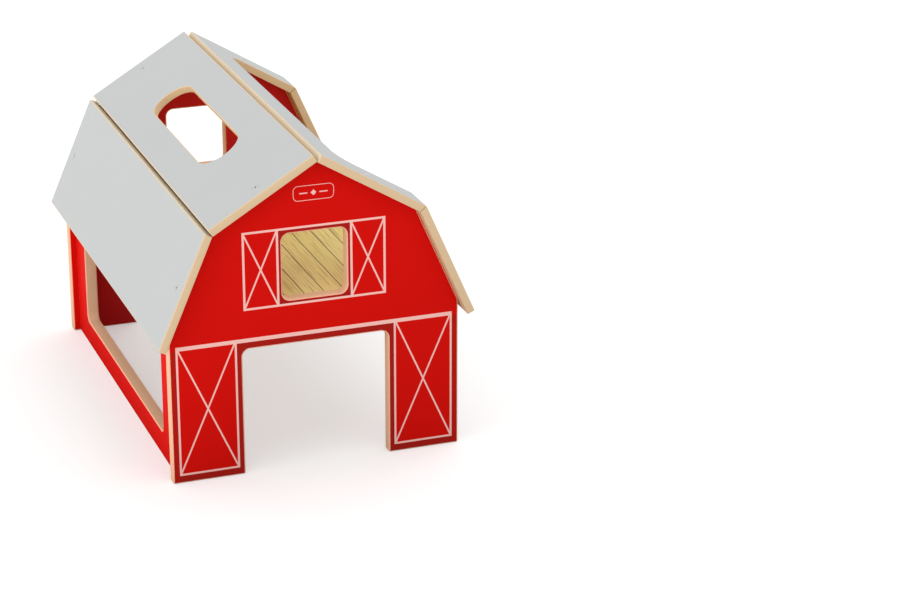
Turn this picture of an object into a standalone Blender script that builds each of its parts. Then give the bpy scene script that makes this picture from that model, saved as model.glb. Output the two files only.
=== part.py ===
"""A wooden toy barn: two gables, one side wall and a loft under a gambrel roof of four boards.

The right side stands open for play, and the two right-hand roof boards are open frames.
Units are metres. +Z is up and the front gable faces -Y. The origin lies on the ground,
under the middle of the roof.
"""

import math

import bmesh
import bpy
from mathutils import Matrix, Vector

# Gable outline: each height is a rise above the one before it
GABLE_WIDTH = 0.302
EAVE_HEIGHT = 0.1585
LOWER_RISE = 0.102
LOWER_RUN = 0.0445
UPPER_RISE = 0.064
BARN_DEPTH = 0.454

# Boards
BOARD = 0.0127
ROOF_BOARD = 0.008
EASED_EDGE = 0.001
ROOF_EASED_EDGE = 0.0005

# Clearances
SEAT_GAP = 0.0003
HOLE_CLEARANCE = 0.0003
CUT_OVERRUN = 0.002

# Doorway and window, the same in both gables
DOOR_WIDTH = 0.1524
DOOR_HEIGHT = 0.1343
WINDOW_WIDTH = 0.067
WINDOW_HEIGHT = 0.069
WINDOW_SILL_ABOVE_LOFT = 0.001
OPENING_CORNER = 0.008

# Loft
LOFT_ABOVE_EAVE = 0.0215
LOFT_TO_ROOF = 0.001

# Left wall, whose opening has a sill, a header and two posts
WALL_TO_ROOF = 0.0038
WALL_SILL = 0.028
WALL_HEADER = 0.028
WALL_FRONT_POST = 0.0523
WALL_REAR_POST = 0.0418

# Roof boards
ROOF_OVERHANG = 0.013
EAVE_OVERHANG = 0.0145
RIGHT_RIDGE_SET_BACK = 0.0005
KNEE_SET_BACK = 0.0001
SKYLIGHT_WIDTH = 0.048
SKYLIGHT_LENGTH = 0.222
FRAME_RIDGE_STRIP = 0.037
FRAME_EAVE_STRIP = 0.037
FRAME_END_STRIP = 0.044
FRAME_CORNER = 0.020

# Countersunk screws that hold the roof boards to the gables
SCREW_HEAD_RADIUS = 0.0027
SCREW_SHANK_RADIUS = 0.0015
SCREW_LENGTH = 0.025
SCREW_RIM = 0.0004
SCREW_POINT = 0.003
RECESS_ARM = 0.0017
RECESS_SLOT = 0.0006
RECESS_DEPTH = 0.0008

# Blind dowels that hold the wall and the loft
DOWEL_RADIUS = 0.003
DOWEL_LENGTH = 0.024
DOWEL_CHAMFER = 0.0007
DOWEL_IN_BOARD_FACE = 0.008

# Places along a board, as shares of its length
WALL_DOWEL_SHARES = (0.22, 0.78)
LOFT_DOWEL_SHARES = (0.25, 0.75)
WALL_TOP_DOWEL_SHARES = (0.28, 0.72)

# Facets
CORNER_STEPS = 8
SKYLIGHT_STEPS = 20
EDGE_STEPS = 1
ROUND_STEPS = 16
COLLECTION_NAME = "toy_barn"

# Colours: red print, grey roof paint, bare wood, loft print, steel
RED = (0.58, 0.006, 0.008, 1)
GREY = (0.62, 0.62, 0.61, 1)
WOOD = (0.70, 0.52, 0.31, 1)
PLANK = (0.62, 0.42, 0.16, 1)
STEEL = (0.45, 0.45, 0.46, 1)

# Worked out from the sizes above
KNEE_HEIGHT = EAVE_HEIGHT + LOWER_RISE
APEX_HEIGHT = KNEE_HEIGHT + UPPER_RISE
HALF_WIDTH = GABLE_WIDTH / 2
KNEE_HALF_WIDTH = HALF_WIDTH - LOWER_RUN
LOFT_TOP = EAVE_HEIGHT + LOFT_ABOVE_EAVE
LOFT_UNDERSIDE = LOFT_TOP - BOARD
WALL_TOP = LOFT_UNDERSIDE - SEAT_GAP
ROOM_LENGTH = BARN_DEPTH - 2 * BOARD
BETWEEN_LENGTH = ROOM_LENGTH - 2 * SEAT_GAP
ROOF_LENGTH = BARN_DEPTH + 2 * ROOF_OVERHANG
GABLE_MIDDLE_Y = (BARN_DEPTH - BOARD) / 2
UPPER_SLOPE = math.hypot(KNEE_HALF_WIDTH, UPPER_RISE)
LOWER_SLOPE = math.hypot(LOWER_RUN, LOWER_RISE)
UPPER_PITCH = math.atan2(UPPER_RISE, KNEE_HALF_WIDTH)
LOWER_PITCH = math.atan2(LOWER_RISE, LOWER_RUN)


def half_width_at(height):
    """Half the gable's width at a height between the eave and the knee."""
    return HALF_WIDTH - (height - EAVE_HEIGHT) * LOWER_RUN / LOWER_RISE


WALL_FACE_X = half_width_at(WALL_TOP) - WALL_TO_ROOF
WALL_MIDDLE_X = WALL_FACE_X - BOARD / 2
LOFT_HALF_WIDTH = half_width_at(LOFT_TOP) - LOFT_TO_ROOF


def clear_scene():
    for obj in list(bpy.data.objects):
        bpy.data.objects.remove(obj, do_unlink=True)


def new_collection(name):
    collection = bpy.data.collections.new(name)
    bpy.context.scene.collection.children.link(collection)
    return collection


def finish(name, colour, roughness, metallic=0.0):
    material = bpy.data.materials.new(name)
    material.use_nodes = True
    shader = material.node_tree.nodes["Principled BSDF"]
    shader.inputs["Base Color"].default_value = colour
    shader.inputs["Roughness"].default_value = roughness
    shader.inputs["Metallic"].default_value = metallic
    return material


def rounded(corners, steps=CORNER_STEPS):
    """Points of a closed outline from (x, y, radius) corners: each radius becomes a tangent arc."""
    points = []
    for index, (x, y, radius) in enumerate(corners):
        here = Vector((x, y))
        if not radius:
            points.append(here)
            continue
        before = Vector(corners[index - 1][:2])
        after = Vector(corners[(index + 1) % len(corners)][:2])
        back = (before - here).normalized()
        ahead = (after - here).normalized()
        half_angle = back.angle(ahead) / 2
        centre = here + (back + ahead).normalized() * radius / math.sin(half_angle)
        start = here + back * radius / math.tan(half_angle) - centre
        end = here + ahead * radius / math.tan(half_angle) - centre
        sweep = start.angle_signed(end)
        for step in range(steps + 1):
            points.append(centre + Matrix.Rotation(-sweep * step / steps, 2) @ start)
    return points


def rectangle(x_low, x_high, y_low, y_high, radius=0.0):
    corners = [(x_low, y_low), (x_high, y_low), (x_high, y_high), (x_low, y_high)]
    return [(x, y, radius) for x, y in corners]


def sheet(name, outlines, thickness, eased, place, material):
    """A flat board: outlines are the outer edge and then its holes, eased is its rims' round-over."""
    curve = bpy.data.curves.new(name, "CURVE")
    curve.dimensions = "2D"
    curve.fill_mode = "BOTH"
    curve.extrude = thickness / 2 - eased
    curve.bevel_depth = eased
    curve.bevel_resolution = EDGE_STEPS
    curve.offset = -eased
    for outline in outlines:
        spline = curve.splines.new("POLY")
        spline.points.add(len(outline) - 1)
        for point, (x, y) in zip(spline.points, outline):
            point.co = (x, y, 0, 1)
        spline.use_cyclic_u = True
    drawn = bpy.data.objects.new(name + "_outline", curve)
    boards.objects.link(drawn)
    drawn.matrix_world = place
    graph = bpy.context.evaluated_depsgraph_get()
    mesh = bpy.data.meshes.new_from_object(drawn.evaluated_get(graph))
    bpy.data.objects.remove(drawn)
    shell = bmesh.new()
    shell.from_mesh(mesh)
    bmesh.ops.remove_doubles(shell, verts=shell.verts, dist=SEAT_GAP / 10)
    bmesh.ops.recalc_face_normals(shell, faces=shell.faces)
    shell.to_mesh(mesh)
    shell.free()
    mesh.name = name
    board = bpy.data.objects.new(name, mesh)
    board.matrix_world = place
    board.data.materials.clear()
    board.data.materials.append(material)
    boards.objects.link(board)
    return board


def turned(name, profile, collection):
    """A solid of revolution about local Z, from (radius, height) points that run top to bottom."""
    mesh = bpy.data.meshes.new(name)
    points = [(radius, 0, height) for radius, height in profile]
    mesh.from_pydata(points, [(i, i + 1) for i in range(len(points) - 1)], [])
    obj = bpy.data.objects.new(name, mesh)
    collection.objects.link(obj)
    screw = obj.modifiers.new("turn", "SCREW")
    screw.steps = ROUND_STEPS
    screw.render_steps = ROUND_STEPS
    screw.use_merge_vertices = True
    screw.merge_threshold = SEAT_GAP / 10
    screw.use_smooth_shade = False
    return obj


def baked(obj, name):
    """The object's evaluated shape as a mesh of its own."""
    graph = bpy.context.evaluated_depsgraph_get()
    mesh = bpy.data.meshes.new_from_object(obj.evaluated_get(graph))
    mesh.name = name
    return mesh


def as_cutter(obj):
    obj.hide_render = True
    obj.display_type = "WIRE"
    return obj


def placed_copy(name, mesh, place, collection, material=None):
    obj = bpy.data.objects.new(name, mesh)
    obj.matrix_world = place
    collection.objects.link(obj)
    if material:
        obj.data.materials.clear()
        obj.data.materials.append(material)
    return obj


def cut(board, cutter):
    boolean = board.modifiers.new(cutter.name, "BOOLEAN")
    boolean.operation = "DIFFERENCE"
    boolean.solver = "EXACT"
    boolean.object = cutter


def frame_of(along, across, out, origin):
    """The matrix whose local X, Y and Z run along, across and out of a board at origin."""
    turn = Matrix((along, across, out)).transposed().to_4x4()
    return Matrix.Translation(origin) @ turn


def gable_frame(y):
    return frame_of(Vector((1, 0, 0)), Vector((0, 0, 1)), Vector((0, -1, 0)), Vector((0, y, 0)))


def make_gable(name, y):
    half_door = DOOR_WIDTH / 2
    outer = rounded(
        [
            (-HALF_WIDTH, 0, 0),
            (-half_door, 0, 0),
            (-half_door, DOOR_HEIGHT, OPENING_CORNER),
            (half_door, DOOR_HEIGHT, OPENING_CORNER),
            (half_door, 0, 0),
            (HALF_WIDTH, 0, 0),
            (HALF_WIDTH, EAVE_HEIGHT, 0),
            (KNEE_HALF_WIDTH, KNEE_HEIGHT, 0),
            (0, APEX_HEIGHT, 0),
            (-KNEE_HALF_WIDTH, KNEE_HEIGHT, 0),
            (-HALF_WIDTH, EAVE_HEIGHT, 0),
        ]
    )
    sill = LOFT_TOP + WINDOW_SILL_ABOVE_LOFT
    window = rounded(
        rectangle(-WINDOW_WIDTH / 2, WINDOW_WIDTH / 2, sill, sill + WINDOW_HEIGHT, OPENING_CORNER)
    )
    return sheet(name, [outer, window], BOARD, EASED_EDGE, gable_frame(y), red)


def make_left_wall():
    half = BETWEEN_LENGTH / 2
    front_of_opening = -half + WALL_FRONT_POST - SEAT_GAP
    rear_of_opening = half - WALL_REAR_POST + SEAT_GAP
    outer = rounded(rectangle(-half, half, 0, WALL_TOP))
    opening = rounded(
        rectangle(front_of_opening, rear_of_opening, WALL_SILL, WALL_TOP - WALL_HEADER, OPENING_CORNER)
    )
    middle = Vector((-WALL_MIDDLE_X, 0, 0))
    place = frame_of(Vector((0, 1, 0)), Vector((0, 0, 1)), Vector((1, 0, 0)), middle)
    return sheet("left_wall", [outer, opening], BOARD, EASED_EDGE, place, red)


def make_loft_floor():
    outer = rounded(
        rectangle(-LOFT_HALF_WIDTH, LOFT_HALF_WIDTH, -BETWEEN_LENGTH / 2, BETWEEN_LENGTH / 2)
    )
    middle = Vector((0, 0, LOFT_TOP - BOARD / 2))
    place = frame_of(Vector((1, 0, 0)), Vector((0, 1, 0)), Vector((0, 0, 1)), middle)
    return sheet("loft_floor", [outer], BOARD, EASED_EDGE, place, plank)


def slope_frame(side, x, z, pitch, lift):
    """Local X runs down the slope from (x, z) on that side, and Z stands out of it, lift above it."""
    down = Vector((side * math.cos(pitch), 0, -math.sin(pitch)))
    out = Vector((side * math.sin(pitch), 0, math.cos(pitch)))
    across = out.cross(down)
    return frame_of(down, across, out, Vector((side * x, 0, z)) + out * lift)


def roof_board(name, slope, start, end, hole, hole_steps=CORNER_STEPS):
    """A roof board from start to end down its slope. A hole that meets an end is a notch there."""
    side, x, z, pitch = slope
    half = ROOF_LENGTH / 2
    place = slope_frame(side, x, z, pitch, SEAT_GAP + ROOF_BOARD / 2)
    outlines = [rounded(rectangle(start, end, -half, half))]
    if hole:
        low, high, half_hole, radius = hole
        if high > end:
            corners = [(start, -half, 0), (end, -half, 0), (end, -half_hole, 0), (low, -half_hole, radius)]
            corners += [(low, half_hole, radius), (end, half_hole, 0), (end, half, 0), (start, half, 0)]
            outlines = [rounded(corners)]
        elif low < start:
            corners = [(start, -half, 0), (end, -half, 0), (end, half, 0), (start, half, 0)]
            corners += [(start, half_hole, 0), (high, half_hole, radius)]
            corners += [(high, -half_hole, radius), (start, -half_hole, 0)]
            outlines = [rounded(corners)]
        else:
            outlines.append(rounded(rectangle(low, high, -half_hole, half_hole, radius), hole_steps))
    return sheet(name, outlines, ROOF_BOARD, ROOF_EASED_EDGE, place, grey)


def mitre(board, side, name, keep):
    """Cuts a right-hand board at the knee, along the plane that halves the angle there, half a gap short."""
    pitch = (UPPER_PITCH + LOWER_PITCH) / 2
    place = slope_frame(side, KNEE_HALF_WIDTH, KNEE_HEIGHT, pitch, 0)
    reach = 2 * FRAME_END_STRIP
    block = bmesh.new()
    bmesh.ops.create_cube(block, size=1)
    bmesh.ops.scale(block, verts=block.verts, vec=(reach, ROOF_LENGTH + reach, reach))
    bmesh.ops.translate(block, verts=block.verts, vec=(-keep * (reach - SEAT_GAP) / 2, 0, 0))
    mesh = bpy.data.meshes.new(name)
    block.to_mesh(mesh)
    block.free()
    cut(board, as_cutter(placed_copy(name, mesh, place, cutters)))


def screw_mesh():
    """A countersunk wood screw with a cross recess: its head's top is at local Z = 0, its point below."""
    cone = SCREW_HEAD_RADIUS - SCREW_SHANK_RADIUS
    profile = [
        (0, 0),
        (SCREW_HEAD_RADIUS, 0),
        (SCREW_HEAD_RADIUS, -SCREW_RIM),
        (SCREW_SHANK_RADIUS, -SCREW_RIM - cone),
        (SCREW_SHANK_RADIUS, SCREW_POINT - SCREW_LENGTH),
        (0, -SCREW_LENGTH),
    ]
    blank = as_cutter(turned("screw_blank", profile, cutters))
    for turn in (0, math.pi / 2):
        bpy.ops.mesh.primitive_cube_add(size=1)
        slot = as_cutter(bpy.context.object)
        slot.scale = (2 * RECESS_ARM, RECESS_SLOT, 2 * RECESS_DEPTH)
        slot.rotation_euler = (0, 0, turn)
        for holder in slot.users_collection:
            holder.objects.unlink(slot)
        cutters.objects.link(slot)
        slot.name = "recess_slot"
        cut(blank, slot)
    bpy.context.view_layer.update()
    return baked(blank, "roof_screw")


def screw_hole_mesh():
    """The countersunk hole, with its clearance, that goes through a roof board and into a gable."""
    wide = SCREW_HEAD_RADIUS + HOLE_CLEARANCE
    narrow = SCREW_SHANK_RADIUS + HOLE_CLEARANCE
    seat = -SCREW_RIM - HOLE_CLEARANCE
    profile = [
        (0, CUT_OVERRUN),
        (wide, CUT_OVERRUN),
        (wide, seat),
        (narrow, seat - wide + narrow),
        (narrow, -SCREW_LENGTH - HOLE_CLEARANCE),
        (0, -SCREW_LENGTH - HOLE_CLEARANCE),
    ]
    return baked(as_cutter(turned("screw_hole_profile", profile, cutters)), "screw_hole")


def dowel_profile(extra):
    radius = DOWEL_RADIUS + extra
    half = DOWEL_LENGTH / 2 + extra
    return [
        (0, half),
        (radius - DOWEL_CHAMFER, half),
        (radius, half - DOWEL_CHAMFER),
        (radius, -half + DOWEL_CHAMFER),
        (radius - DOWEL_CHAMFER, -half),
        (0, -half),
    ]


def fasten(name, mesh, hole, place, pieces, material):
    """Puts a fastener at place and cuts its hole from each of the pieces that it joins."""
    placed_copy(name, mesh, place, boards, material)
    cutter = as_cutter(placed_copy(name + "_hole", hole, place, cutters))
    for piece in pieces:
        cut(piece, cutter)


def screw_down(slopes, boards_on, gables, mesh, hole):
    for (tier, side_name), board in boards_on.items():
        slope, start, end = slopes[(tier, side_name)]
        side, x, z, pitch = slope
        for end_name, gable in gables.items():
            y = -GABLE_MIDDLE_Y if end_name == "front" else GABLE_MIDDLE_Y
            surface = slope_frame(side, x, z, pitch, SEAT_GAP + ROOF_BOARD)
            middle = surface @ Matrix.Translation(((start + end) / 2, 0, 0))
            place = Matrix.Translation((0, y, 0)) @ middle
            fasten(f"screw_{tier}_{side_name}_{end_name}", mesh, hole, place, (board, gable), steel)


def dowel_between(name, entry, direction, face_board, edge_board, mesh, hole):
    """A dowel that enters face_board at entry, against direction, and the edge of edge_board along it."""
    centre = entry + direction * (DOWEL_LENGTH / 2 - DOWEL_IN_BOARD_FACE)
    turn = direction.to_track_quat("Z", "Y").to_matrix().to_4x4()
    fasten(name, mesh, hole, Matrix.Translation(centre) @ turn, (face_board, edge_board), wood)


def dowel_up(wall, loft, gables, mesh, hole):
    half_room = ROOM_LENGTH / 2
    for end_name, gable in gables.items():
        side = -1 if end_name == "front" else 1
        inward = Vector((0, -side, 0))
        y = side * half_room
        for place_name, share in zip(("low", "high"), WALL_DOWEL_SHARES):
            entry = Vector((-WALL_MIDDLE_X, y, share * WALL_TOP))
            dowel_between(f"dowel_wall_{end_name}_{place_name}", entry, inward, gable, wall, mesh, hole)
        for place_name, share in zip(("left", "right"), LOFT_DOWEL_SHARES):
            x = (2 * share - 1) * LOFT_HALF_WIDTH
            entry = Vector((x, y, LOFT_TOP - BOARD / 2))
            dowel_between(f"dowel_loft_{end_name}_{place_name}", entry, inward, gable, loft, mesh, hole)
    for place_name, share in zip(("front", "rear"), WALL_TOP_DOWEL_SHARES):
        entry = Vector((-WALL_MIDDLE_X, (share - 1 / 2) * BETWEEN_LENGTH, LOFT_UNDERSIDE))
        down = Vector((0, 0, -1))
        dowel_between(f"dowel_wall_top_{place_name}", entry, down, loft, wall, mesh, hole)


clear_scene()
boards = new_collection(COLLECTION_NAME)
cutters = new_collection("cutters")
red = finish("red_print", RED, 0.45)
grey = finish("grey_paint", GREY, 0.5)
wood = finish("bare_wood", WOOD, 0.6)
plank = finish("plank_print", PLANK, 0.5)
steel = finish("screw_steel", STEEL, 0.35, 1.0)

gables = {
    "front": make_gable("front_gable", -GABLE_MIDDLE_Y),
    "rear": make_gable("rear_gable", GABLE_MIDDLE_Y),
}
left_wall = make_left_wall()
loft_floor = make_loft_floor()

# The slopes, as (side, x, z, pitch) of the line that they start from
upper_left = (-1, 0, APEX_HEIGHT, UPPER_PITCH)
upper_right = (1, 0, APEX_HEIGHT, UPPER_PITCH)
lower_left = (-1, KNEE_HALF_WIDTH, KNEE_HEIGHT, LOWER_PITCH)
lower_right = (1, KNEE_HALF_WIDTH, KNEE_HEIGHT, LOWER_PITCH)
# The upper left board runs past the ridge until its lower edge stands one gap off the right one's end
past_ridge = (RIGHT_RIDGE_SET_BACK - SEAT_GAP * (1 - math.sin(2 * UPPER_PITCH))) / math.cos(2 * UPPER_PITCH)
upper_end = UPPER_SLOPE - KNEE_SET_BACK
lower_end = LOWER_SLOPE + EAVE_OVERHANG
slopes = {
    ("upper", "left"): (upper_left, -past_ridge, upper_end),
    ("upper", "right"): (upper_right, RIGHT_RIDGE_SET_BACK, upper_end),
    ("lower", "left"): (lower_left, 0, lower_end),
    ("lower", "right"): (lower_right, 0, lower_end),
}

# The right-hand boards are sawn long at the knee and then mitred there
long_end = UPPER_SLOPE + (SEAT_GAP + ROOF_BOARD) * math.tan((LOWER_PITCH - UPPER_PITCH) / 2) + CUT_OVERRUN
long_start = UPPER_SLOPE - long_end
sawn = dict(slopes)
sawn[("upper", "right")] = (upper_right, RIGHT_RIDGE_SET_BACK, long_end)
sawn[("lower", "right")] = (lower_right, long_start, lower_end)

# Holes down the slope, as (from, to, half their length, corner radius)
slope_middle = UPPER_SLOPE / 2
half_skylight = SKYLIGHT_WIDTH / 2
half_frame_hole = ROOF_LENGTH / 2 - FRAME_END_STRIP
skylight = (slope_middle - half_skylight, slope_middle + half_skylight, SKYLIGHT_LENGTH / 2, half_skylight)
upper_notch = (FRAME_RIDGE_STRIP, long_end + CUT_OVERRUN, half_frame_hole, FRAME_CORNER)
lower_notch = (long_start - CUT_OVERRUN, lower_end - FRAME_EAVE_STRIP, half_frame_hole, FRAME_CORNER)
holes = {
    ("upper", "left"): skylight,
    ("upper", "right"): upper_notch,
    ("lower", "left"): None,
    ("lower", "right"): lower_notch,
}
roof = {}
for (tier, side_name), (slope, start, end) in sawn.items():
    name = f"roof_{tier}_{side_name}"
    roof[(tier, side_name)] = roof_board(name, slope, start, end, holes[(tier, side_name)], SKYLIGHT_STEPS)
mitre(roof[("upper", "right")], 1, "upper_mitre", -1)
mitre(roof[("lower", "right")], 1, "lower_mitre", 1)

screw_down(slopes, roof, gables, screw_mesh(), screw_hole_mesh())
dowel = baked(as_cutter(turned("dowel_blank", dowel_profile(0), cutters)), "dowel")
bore_blank = as_cutter(turned("dowel_bore_blank", dowel_profile(HOLE_CLEARANCE), cutters))
dowel_hole = baked(bore_blank, "dowel_bore")
dowel_up(left_wall, loft_floor, gables, dowel, dowel_hole)
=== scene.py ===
"""The looks of a wooden toy barn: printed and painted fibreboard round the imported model."""

import math

import bpy
import numpy as np
from mathutils import Matrix, Vector
from mathutils.geometry import tessellate_polygon


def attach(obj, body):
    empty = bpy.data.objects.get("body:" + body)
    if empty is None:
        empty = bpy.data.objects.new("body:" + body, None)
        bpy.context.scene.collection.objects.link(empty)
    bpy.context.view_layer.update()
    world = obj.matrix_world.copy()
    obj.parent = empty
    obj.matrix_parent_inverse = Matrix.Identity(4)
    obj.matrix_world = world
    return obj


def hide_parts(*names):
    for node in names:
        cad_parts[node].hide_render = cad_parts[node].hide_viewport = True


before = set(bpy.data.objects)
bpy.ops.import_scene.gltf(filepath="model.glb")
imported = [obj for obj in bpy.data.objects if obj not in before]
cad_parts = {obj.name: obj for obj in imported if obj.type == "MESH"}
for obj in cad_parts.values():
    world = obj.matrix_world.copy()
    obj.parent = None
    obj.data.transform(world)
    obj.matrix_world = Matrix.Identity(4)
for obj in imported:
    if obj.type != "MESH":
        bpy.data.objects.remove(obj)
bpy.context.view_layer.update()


# The gables
# Two half-inch boards of fibreboard, sawn to the barn's outline with a doorway and a window, their
# rims rounded over by a router. Both faces are sprayed red, and the outer face is screen printed
# with a darker red ground, then with white door frames, shutters and a small plate.
BOARD = 0.0127
BOARD_RIM = 0.0014
ROUND_STEPS = 5
CORNER_STEPS = 14
SHARP_CORNER = 0.0018
CREASE = math.cos(math.radians(40))
MITRE_REACH = 0.0020
BARN_HALF_DEPTH = 0.227
HALF_WIDTH = 0.151
EAVE_HEIGHT = 0.1585
KNEE_HALF_WIDTH = 0.1065
KNEE_HEIGHT = 0.2605
APEX_HEIGHT = 0.3245
HALF_DOOR = 0.0762
DOOR_HEIGHT = 0.1343
HALF_WINDOW = 0.0335
WINDOW_SILL = 0.181
WINDOW_TOP = 0.250
OPENING_CORNER = 0.008
RED_PAINT = (0.71, 0.0070, 0.0045)
# Painted shade: the darker, duller red of the inner faces, standing for the shade that falls inside the
# room.
RED_INNER_SHADE = (0.60, 0.020, 0.020)
INNER_HALF_WIDTH = 0.1430
RED_GROUND = (0.415, 0.0145, 0.0100)
MARGIN_SHARE = 0.75
WHITE_INK = (1.0, 0.585, 0.525)
RED_GLOSS = 0.01
RED_MIST = (1.0, 0.46, 0.32)
MIST_AT_FACE = 0.85
MIST_ON_EDGE = 0.28
INK_EDGE = 0.00012
INK_WOBBLE = 0.00010
INK_WOBBLE_SCALE = 900.0
RAIL_LOW = 0.1417
RAIL_HIGH = 0.1458
LEAF_OUTER = 0.1442
LEAF_INNER = 0.0820
LEAF_BOTTOM = 0.0080
LEAF_LINE = 0.0021
SHUTTER_OUTER = 0.0740
SHUTTER_INNER = 0.0370
SHUTTER_LOW = 0.1751
SHUTTER_HIGH = 0.2565
SHUTTER_LINE = 0.0023
BRACE_LINE = 0.0017
PLATE_MIDDLE = 0.2899
PLATE_HALF_WIDTH = 0.0210
PLATE_HALF_HEIGHT = 0.0078
PLATE_CORNER = 0.0050
PLATE_LINE = 0.0006
DIAMOND = 0.0030
DASH_START = 0.0062
DASH_END = 0.0145
DASH_HEIGHT = 0.0012
PAINT_WRAP = (0.000006, 0.000034)
PAINT_LINE_EDGE = 0.000006
PAINT_LINE_SCALE = 260.0
PAINT_PEEL_SCALE = 620.0
PAINT_TONE_SCALE = 9.0
PAINT_TONE = (0.985, 1.01)
PAINT_ROUGHNESS = (0.43, 0.48)
PAINT_NIB_SCALE = 85.0
PAINT_NIB_REACH = (0.02, 0.05)
PAINT_NIB_HEIGHT = 1.5
PAINT_RELIEF = 0.000010
PAINT_THICKNESS = 0.000030
FIBRE_SCALE = 1500.0
FIBRE_DETAIL = 0.65
FIBRE_DARK = (0.70, 0.498, 0.297)
FIBRE_PALE = (0.84, 0.639, 0.405)
FIBRE_ROUGHNESS = (0.62, 0.76)
FIBRE_RELIEF = 0.000040
CLOUD_SCALE = 45.0
CLOUD_DARK = (0.93, 0.93, 0.93)
CLOUD_PALE = (1.0, 0.985, 0.96)
SPECK_SCALE = 700.0
SPECK_REACH = (0.05, 0.22)
SPECK_CLOUDS = (0.50, 0.62)
SPECK_BROWN = (0.36, 0.22, 0.11)
SPECK_SHARE = 0.45
SPECK_DEPTH = 0.6
NOISE_MIDDLE = (0.3, 0.7)


def rounded_path(corners):
    """A closed path round (u, v, radius) corners, and its normals. The wood is on its left.

    Each corner is an arc tangent to both of its sides: the normal turns evenly from one side's to the
    next one's, and a point is the arc's middle plus the radius along the normal, or less it in a hollow.
    """
    table = np.array(corners, float)
    here, radius = table[:, :2], table[:, 2:]
    ahead = np.roll(here, -1, axis=0) - here
    ahead /= np.linalg.norm(ahead, axis=1, keepdims=True)
    behind = np.roll(ahead, 1, axis=0)
    crossed = behind[:, :1] * ahead[:, 1:] - behind[:, 1:] * ahead[:, :1]
    turn = np.arctan2(crossed, (behind * ahead).sum(axis=1, keepdims=True))
    first = np.stack((behind[:, 1], -behind[:, 0]), axis=1)
    start = here - behind * radius * np.abs(np.tan(turn / 2))
    signed = radius * np.sign(turn)
    angle = np.arctan2(first[:, 1:], first[:, :1]) + turn * np.linspace(0, 1, CORNER_STEPS + 1)
    normals = np.stack((np.cos(angle), np.sin(angle)), axis=-1)
    points = (start - first * signed)[:, None] + signed[:, None] * normals
    return points.reshape(-1, 2), normals.reshape(-1, 2)


def box_corners(u_low, u_high, v_low, v_high, radius, hollow=False):
    """The corners of an upright rectangle with the wood inside it, or round it where it is a hollow."""
    low = [(u_low, v_low, radius), (u_high, v_low, radius)]
    high = [(u_high, v_high, radius), (u_low, v_high, radius)]
    return (low + high)[::-1] if hollow else low + high


def round_rim(thickness, outer, inner):
    """Inset and depth across a rim: a quarter circle, the straight edge, and a quarter circle."""
    angle = np.linspace(0, math.pi / 2, ROUND_STEPS + 1)
    inset = 1 - np.sin(angle)
    depth = 1 - np.cos(angle)
    insets = (outer * inset, inner * inset[::-1])
    return np.concatenate(insets), np.concatenate((outer * depth, thickness - inner * depth[::-1]))


def rim_normals(inset, depth):
    """Each strip's normal at its start and at its end, as shares of the path's normal and of the face's.

    A strip's own normal is square to its run. Two strips that meet at a small angle share their mean,
    and a strip that leaves a face at a small angle starts on the face's normal.
    """
    own = np.stack((np.diff(depth), -np.diff(inset)), axis=1)
    own /= np.linalg.norm(own, axis=1, keepdims=True)
    faces = np.array(((0.0, 1.0), (0.0, -1.0)))
    chain = np.concatenate((faces[:1], own, faces[1:]))
    mean = chain[:-1] + chain[1:]
    mean /= np.linalg.norm(mean, axis=1, keepdims=True)
    mean[0], mean[-1] = faces
    soft = ((chain[:-1] * chain[1:]).sum(axis=1) > CREASE)[:, None]
    return np.where(soft[:-1], mean[:-1], own), np.where(soft[1:], mean[1:], own)


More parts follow.
